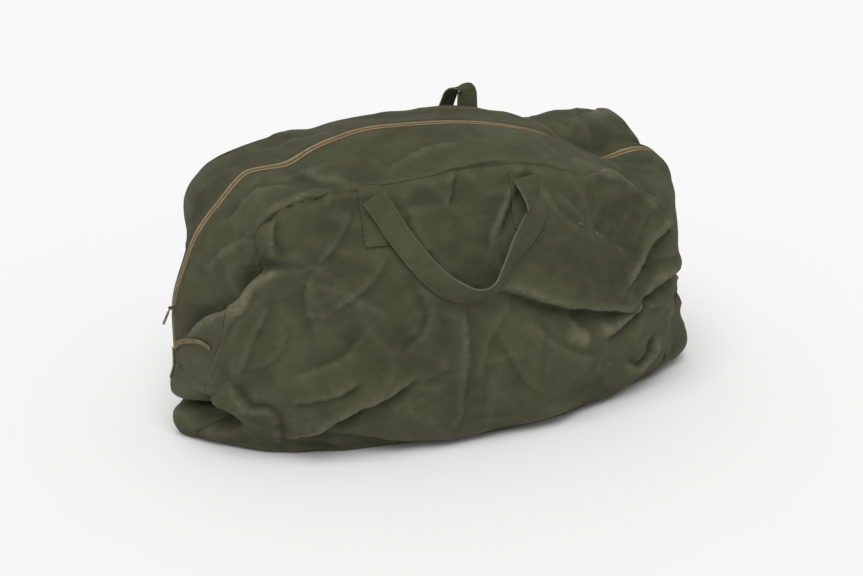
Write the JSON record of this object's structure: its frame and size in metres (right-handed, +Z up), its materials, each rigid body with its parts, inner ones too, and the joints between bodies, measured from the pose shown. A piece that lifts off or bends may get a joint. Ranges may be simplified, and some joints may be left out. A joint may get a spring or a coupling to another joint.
{
  "type": "duffel bag",
  "caption": "Soft arch-topped canvas duffel bag, zipped shut and full, with a curved top zip, a slider with a hanging pull, and sewn strap handles that swing up and over.",
  "frame": {"origin": "centre of the base's underside, on the ground below the zip", "axes": "+X along the bag towards the lower, lumpy end, +Y towards the back handle, +Z up"},
  "size_m": [0.9462, 0.4493, 0.4968],
  "materials": {
    "canvas": "waxed olive drab canvas, lightly scuffed",
    "strap": "folded and edge-stitched olive canvas",
    "zip_tape": "woven tan tape",
    "zip_teeth": "brown moulded teeth",
    "zip_metal": "dark bronze, satin",
    "filling": "plain soft contents, never seen"
  },
  "bodies": {
    "bag": {"base_panel": "canvas", "front_panel": "canvas", "back_panel": "canvas", "front_gusset": "canvas", "back_gusset": "canvas", "left_end_panel": "canvas", "right_end_panel": "canvas", "zipper_tape_front": "zip_tape", "zipper_tape_back": "zip_tape", "zipper_teeth_front": "zip_teeth", "zipper_teeth_back": "zip_teeth", "zipper_bottom_stop": "zip_metal", "zipper_top_stop": "zip_metal", "front_handle_anchor_left": "strap", "front_handle_anchor_right": "strap", "back_handle_anchor_left": "strap", "back_handle_anchor_right": "strap", "back_handle_stub": "strap", "front_seam_binding": "zip_tape", "back_seam_binding": "zip_tape", "filling": "filling"},
    "slider": {"zipper_slider": "zip_metal", "zipper_slider_bar": "zip_metal"},
    "pull": {"zipper_pull": "zip_metal"},
    "front_handle": {"front_handle": "strap"},
    "back_handle": {"back_handle": "strap"}
  },
  "joints": [
    {"name": "zip_travel", "type": "hinge", "parent": "bag", "child": "slider", "pos_m": [-0.202, 0, 0.207], "axis": [0, 1, 0], "range_deg": [0, 62]},
    {"name": "pull_swing", "type": "hinge", "parent": "slider", "child": "pull", "pos_m": [-0.46838, 0, 0.23031], "axis": [0, 1, 0], "range_deg": [-20, 150]},
    {"name": "front_handle_swing", "type": "hinge", "parent": "bag", "child": "front_handle", "pos_m": [-0.049, -0.167, 0.452], "axis": [-1, 0, 0], "range_deg": [0, 200]},
    {"name": "back_handle_swing", "type": "hinge", "parent": "bag", "child": "back_handle", "pos_m": [-0.145, 0.167, 0.452], "axis": [0.9898, 0, 0.1425], "range_deg": [0, 190]}
  ]
}
